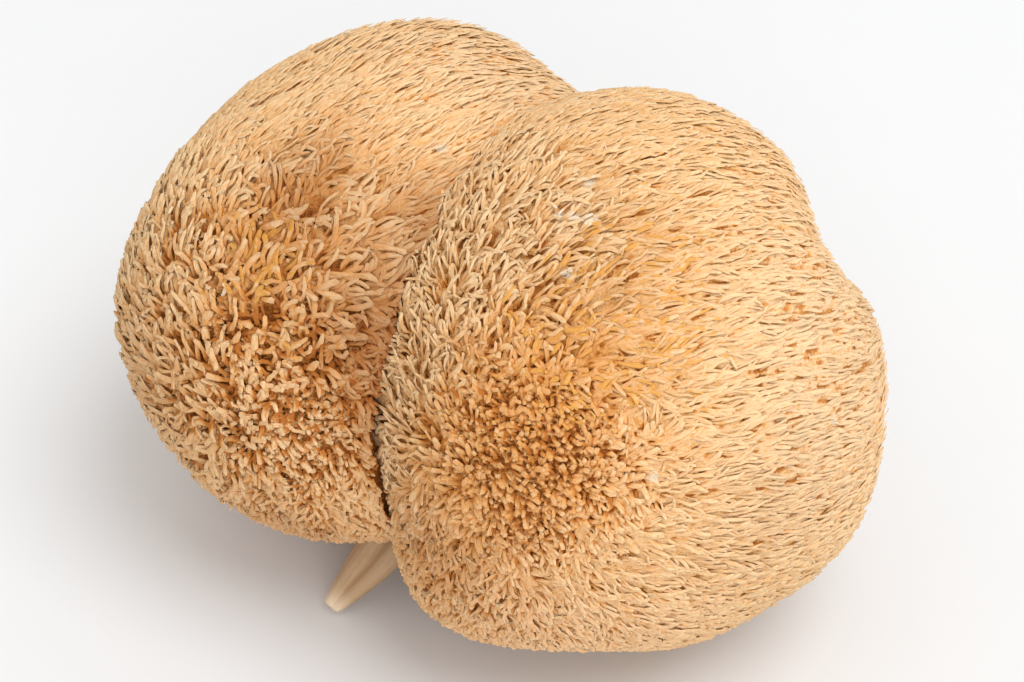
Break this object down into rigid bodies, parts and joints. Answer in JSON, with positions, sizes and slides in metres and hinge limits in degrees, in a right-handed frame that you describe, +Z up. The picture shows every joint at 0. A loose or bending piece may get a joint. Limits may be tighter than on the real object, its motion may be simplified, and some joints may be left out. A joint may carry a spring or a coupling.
{
  "type": "lion's mane mushroom",
  "caption": "Dried lion's mane mushroom lying on its side: two round heads covered in soft spines, grown together on one short, smooth, grooved stem.",
  "frame": {"origin": "under the middle of the mushroom's box, at the level of the surface it rests on", "axes": "+Z up, +X from the rear head towards the front head, -Y towards the side that the picture was taken from"},
  "size_m": [0.1118, 0.0994, 0.0806],
  "materials": {
    "pale_coat": "dry, soft, cream to orange-tan spines with brown gaps between them",
    "brown_coat": "dry, soft, tan to brown spines with brown gaps between them",
    "stem_flesh": "smooth, dry, pale flesh"
  },
  "bodies": {
    "root": {"front_head": "pale_coat", "rear_head": "brown_coat", "stem": "stem_flesh"}
  },
  "joints": []
}
